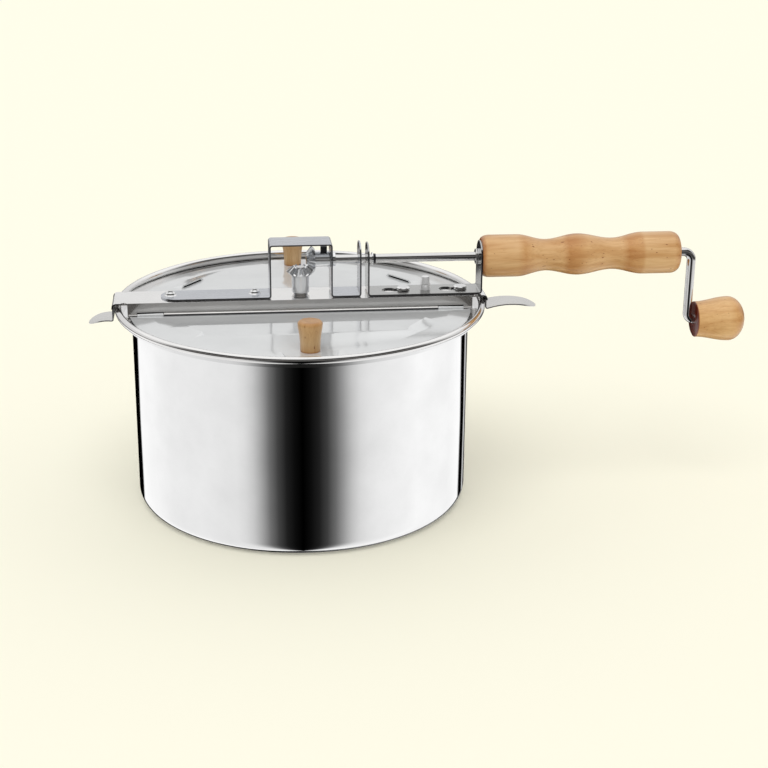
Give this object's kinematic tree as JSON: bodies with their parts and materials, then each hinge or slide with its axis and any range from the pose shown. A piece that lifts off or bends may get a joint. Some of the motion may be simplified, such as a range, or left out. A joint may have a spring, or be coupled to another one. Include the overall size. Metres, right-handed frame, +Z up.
{
  "type": "stovetop popcorn popper",
  "caption": "Steel pot with hinged half lids on a bridge, a bevel-geared floor stirrer, and a turned wooden side handle with a hand crank for popping corn on a stove.",
  "frame": {"origin": "centre of the pot's flat base, on the surface it stands on", "axes": "+X along the bridge towards the handle and crank, +Y to the back, +Z up"},
  "size_m": [0.4251, 0.234, 0.1687],
  "materials": {
    "polished_steel": "mirror-polished stainless steel",
    "satin_steel": "satin stainless sheet",
    "strip_steel": "bright plated strip",
    "bright_fasteners": "bright plated, slightly worn",
    "spring_steel": "bare spring steel",
    "shaft_steel": "grey drawn rod",
    "gear_metal": "sintered bright metal",
    "black_steel": "black oxide",
    "handle_wood": "clear-lacquered light hardwood",
    "knob_wood": "clear-lacquered light hardwood",
    "crank_knob_wood": "clear-lacquered light hardwood"
  },
  "bodies": {
    "pot": {"pot": "polished_steel"},
    "lid_frame": {"bridge": "satin_steel", "front_hinge_wire": "shaft_steel", "rear_hinge_wire": "shaft_steel", "gear_frame": "strip_steel", "frame_screws": "bright_fasteners", "frame_nuts": "bright_fasteners", "keyhole_studs": "bright_fasteners", "stirrer_bush": "black_steel"},
    "front_lid": {"front_lid": "satin_steel", "front_knob": "knob_wood", "front_knob_screw": "bright_fasteners"},
    "rear_lid": {"rear_lid": "satin_steel", "rear_knob": "knob_wood", "rear_knob_screw": "bright_fasteners"},
    "left_latch": {"left_latch": "spring_steel"},
    "right_latch": {"right_latch": "spring_steel"},
    "handle": {"handle_bracket": "strip_steel", "plunger_sleeve": "strip_steel", "plunger_spring": "spring_steel", "handle_tube": "bright_fasteners", "wood_handle": "handle_wood"},
    "plunger": {"locking_plunger": "bright_fasteners"},
    "crank": {"crank_rod": "shaft_steel", "rod_collar": "bright_fasteners", "retaining_ring": "black_steel", "push_nut": "spring_steel", "crank_knob_washer": "bright_fasteners"},
    "crank_knob": {"crank_knob": "crank_knob_wood"},
    "pinion": {"pinion_gear": "gear_metal", "pinion_shaft": "shaft_steel", "pinion_set_screw": "black_steel", "shaft_washer": "bright_fasteners"},
    "stirrer": {"stirrer_gear": "gear_metal", "stirrer_set_screw": "black_steel", "stirrer_shaft": "shaft_steel", "shaft_clip": "black_steel", "stirrer_hub": "bright_fasteners", "stirrer_wires": "spring_steel"}
  },
  "joints": [
    {"name": "lid_lift", "type": "slide", "parent": "pot", "child": "lid_frame", "axis": [0, 0, 1], "range_m": [0, 0.135]},
    {"name": "front_lid_hinge", "type": "hinge", "parent": "lid_frame", "child": "front_lid", "pos_m": [0, -0.0138, 0.1252], "axis": [-1, 0, 0], "range_deg": [0, 82]},
    {"name": "rear_lid_hinge", "type": "hinge", "parent": "lid_frame", "child": "rear_lid", "pos_m": [0, 0.0138, 0.1252], "axis": [1, 0, 0], "range_deg": [0, 82]},
    {"name": "left_latch_flex", "type": "hinge", "parent": "lid_frame", "child": "left_latch", "pos_m": [-0.1178, 0, 0.1314], "axis": [0, 1, 0], "range_deg": [0, 5], "stiffness_Nm_per_rad": 1.4},
    {"name": "right_latch_flex", "type": "hinge", "parent": "lid_frame", "child": "right_latch", "pos_m": [0.1178, 0, 0.1314], "axis": [0, -1, 0], "range_deg": [0, 5], "stiffness_Nm_per_rad": 1.4},
    {"name": "handle_slide", "type": "slide", "parent": "lid_frame", "child": "handle", "axis": [1, 0, 0], "range_m": [0, 0.009]},
    {"name": "plunger_pull", "type": "slide", "parent": "handle", "child": "plunger", "axis": [0, 0, 1], "range_m": [0, 0.0012], "stiffness_N_per_m": 1500, "springref_m": -0.001, "deforming": ["plunger_spring"]},
    {"name": "crank_spin", "type": "hinge", "parent": "handle", "child": "crank", "pos_m": [0.18, 0, 0.1552], "axis": [1, 0, 0], "continuous": true},
    {"name": "crank_knob_spin", "type": "hinge", "parent": "crank", "child": "crank_knob", "pos_m": [0.277, 0, 0.1092], "axis": [1, 0, 0], "continuous": true},
    {"name": "pinion_spin", "type": "hinge", "parent": "lid_frame", "child": "pinion", "pos_m": [0.02, 0, 0.1552], "axis": [1, 0, 0], "continuous": true},
    {"name": "stirrer_spin", "type": "hinge", "parent": "lid_frame", "child": "stirrer", "pos_m": [0, 0, 0.1], "axis": [0, 0, 1], "continuous": true}
  ],
  "couplings": [
    {"joint": "pinion_spin", "follows": "crank_spin", "ratio": 1},
    {"joint": "stirrer_spin", "follows": "crank_spin", "ratio": 1}
  ]
}
